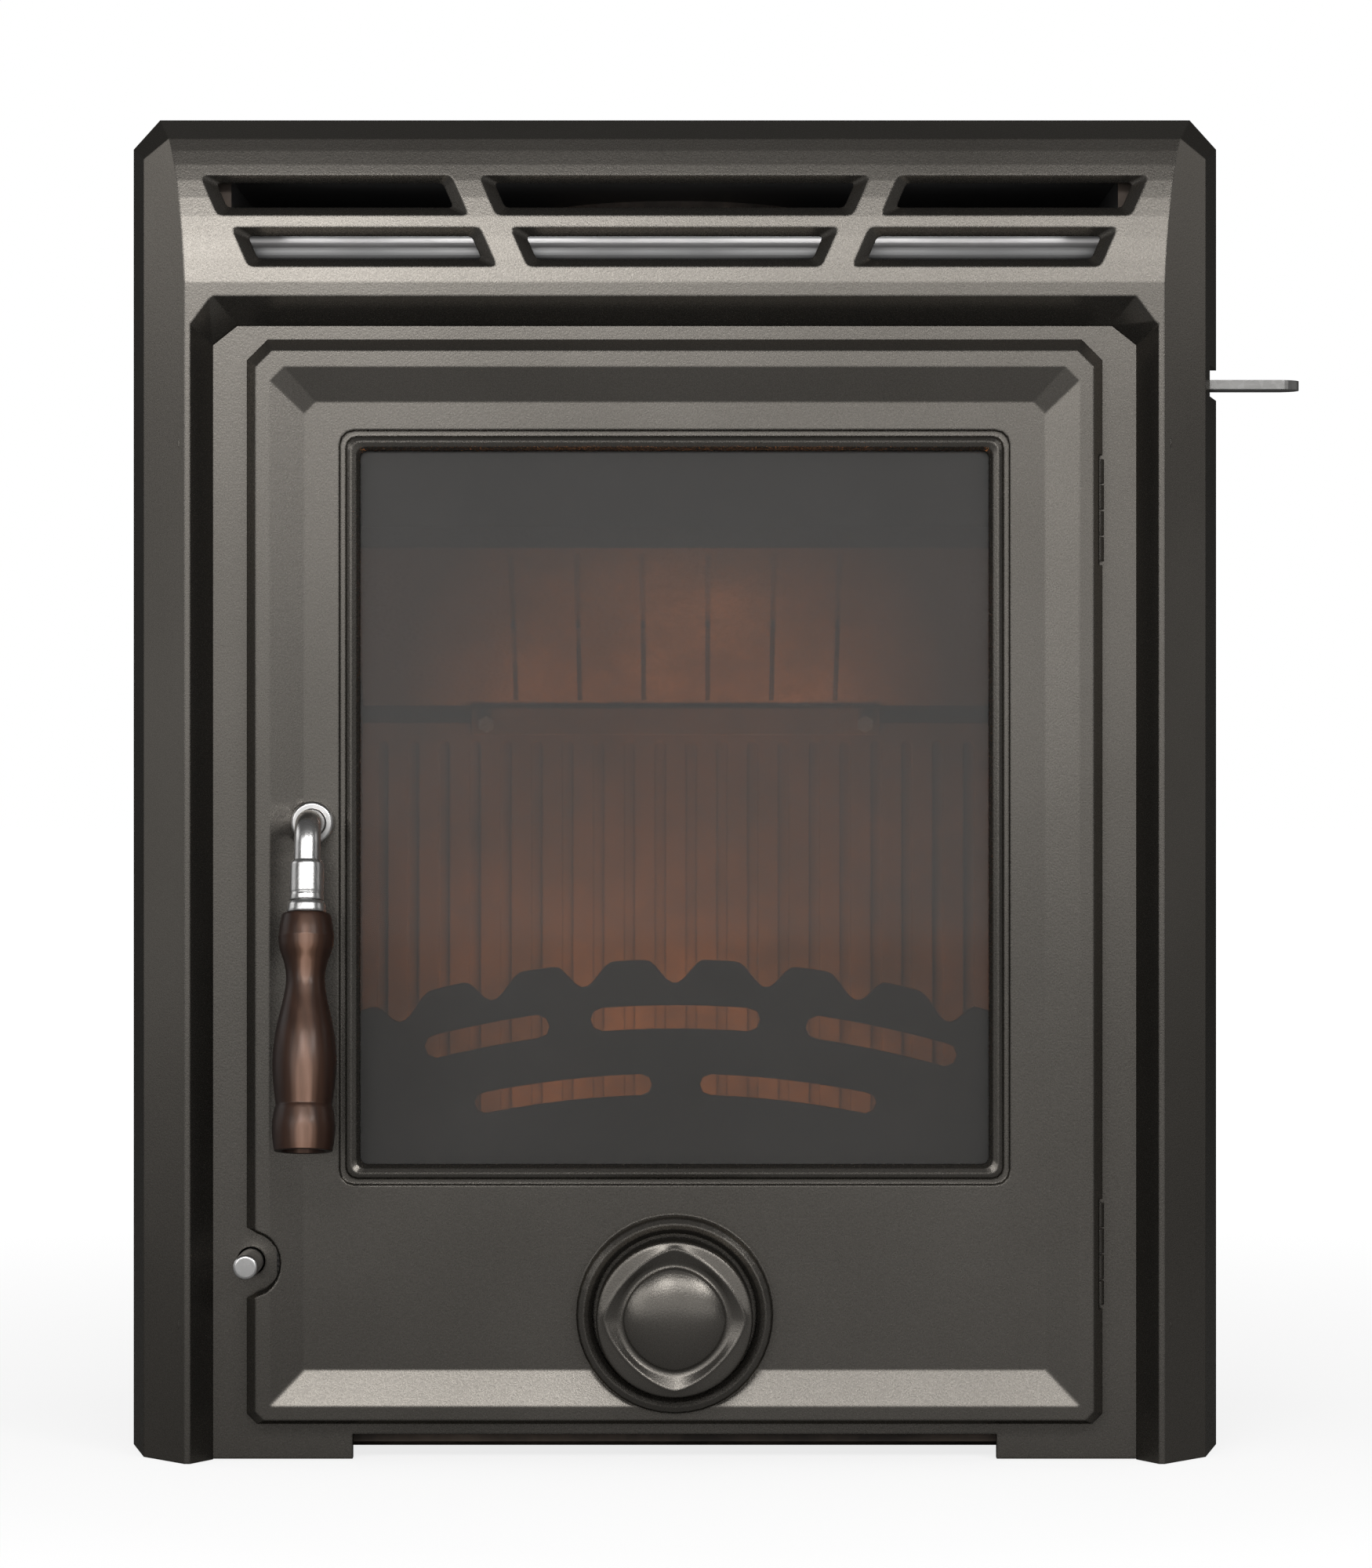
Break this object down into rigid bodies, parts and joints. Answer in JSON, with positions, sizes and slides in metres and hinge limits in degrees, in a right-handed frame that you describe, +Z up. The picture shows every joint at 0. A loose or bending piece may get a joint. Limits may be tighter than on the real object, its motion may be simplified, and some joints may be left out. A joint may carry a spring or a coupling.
{
  "type": "fireplace insert stove",
  "caption": "Inset cast-iron stove with a convection grille, a glazed side-hung door, a wheel air control, a riddling rod and an airwash lever.",
  "frame": {"origin": "on the hearth, in the middle of the width, at the wall plane where the surround's back edge sits", "axes": "+X right as seen from the front, +Y back into the chimney, +Z up; the door faces -Y"},
  "size_m": [0.515, 0.3404, 0.587],
  "materials": {
    "stove_paint": "pebbled cast iron in warm dark grey heat-proof paint",
    "inner_iron": "matt dark iron, heat stained",
    "fireboard": "pressed mineral fireboard, sooty",
    "bright_steel": "bright plated steel",
    "sheet_steel": "black painted sheet steel",
    "zinc_steel": "zinc plated steel",
    "turned_wood": "turned hardwood, dark brown varnish",
    "ceramic_glass": "smoke-tinted ceramic glass",
    "seal_fibre": "woven black glass-fibre rope and tape"
  },
  "bodies": {
    "stove": {"surround": "stove_paint", "surround_bolt_1": "zinc_steel", "surround_bolt_2": "zinc_steel", "surround_bolt_3": "zinc_steel", "surround_bolt_4": "zinc_steel", "front_plate": "stove_paint", "hinge_pin_upper": "bright_steel", "hinge_pin_lower": "bright_steel", "door_catch": "zinc_steel", "firebox_base": "inner_iron", "firebox_left_wall": "inner_iron", "firebox_right_wall": "inner_iron", "firebox_back_wall": "inner_iron", "firebox_roof": "inner_iron", "base_plinth": "inner_iron", "flue_collar": "inner_iron", "jacket_left": "sheet_steel", "jacket_right": "sheet_steel", "jacket_back": "sheet_steel", "jacket_top": "sheet_steel", "air_deflector": "bright_steel", "airwash_guide": "sheet_steel", "side_brick_left": "fireboard", "side_brick_right": "fireboard", "rear_liner": "inner_iron", "baffle_plate": "fireboard", "baffle_ledge": "inner_iron", "ledge_bolt_left": "zinc_steel", "ledge_bolt_right": "zinc_steel", "grate_frame": "inner_iron", "log_guard": "inner_iron", "ash_pan": "sheet_steel"},
    "door": {"door_casting": "stove_paint", "door_glass": "ceramic_glass", "glass_gasket": "seal_fibre", "glass_clip_left": "zinc_steel", "glass_clip_right": "zinc_steel", "glass_clip_lower_left": "zinc_steel", "glass_clip_lower_right": "zinc_steel", "clip_screw_left": "zinc_steel", "clip_screw_right": "zinc_steel", "clip_screw_lower_left": "zinc_steel", "clip_screw_lower_right": "zinc_steel", "door_rope_seal": "seal_fibre", "wheel_spindle": "bright_steel", "handle_rosette": "bright_steel"},
    "handle": {"handle_shaft": "bright_steel", "handle_collar": "bright_steel", "grip_ferrule": "bright_steel", "wooden_grip": "turned_wood", "grip_screw": "zinc_steel", "latch_cam": "zinc_steel", "latch_nut": "zinc_steel"},
    "wheel_carrier": {"thrust_washer": "bright_steel"},
    "wheel": {"spin_wheel": "stove_paint"},
    "riddler": {"riddling_rod": "bright_steel", "riddling_link": "inner_iron", "riddling_grate": "inner_iron"},
    "airwash": {"airwash_lever": "zinc_steel"}
  },
  "joints": [
    {"name": "door_hinge", "type": "hinge", "parent": "stove", "child": "door", "pos_m": [0.1825, -0.0575, 0.25], "axis": [0, 0, 1], "range_deg": [0, 110]},
    {"name": "handle_turn", "type": "hinge", "parent": "door", "child": "handle", "pos_m": [-0.1561, -0.066, 0.276], "axis": [0, 1, 0], "range_deg": [0, 90]},
    {"name": "wheel_travel", "type": "slide", "parent": "door", "child": "wheel_carrier", "axis": [0, -1, 0], "range_m": [0, 0.006]},
    {"name": "wheel_turn", "type": "hinge", "parent": "wheel_carrier", "child": "wheel", "pos_m": [0, -0.08, 0.0642], "axis": [0, -1, 0], "range_deg": [0, 720]},
    {"name": "riddle_pull", "type": "slide", "parent": "stove", "child": "riddler", "axis": [0, -1, 0], "range_m": [0, 0.03]},
    {"name": "airwash_slide", "type": "slide", "parent": "stove", "child": "airwash", "axis": [1, 0, 0], "range_m": [-0.025, 0]}
  ],
  "couplings": [
    {"joint": "wheel_travel", "follows": "wheel_turn", "m_per_rad": 0.000477}
  ]
}
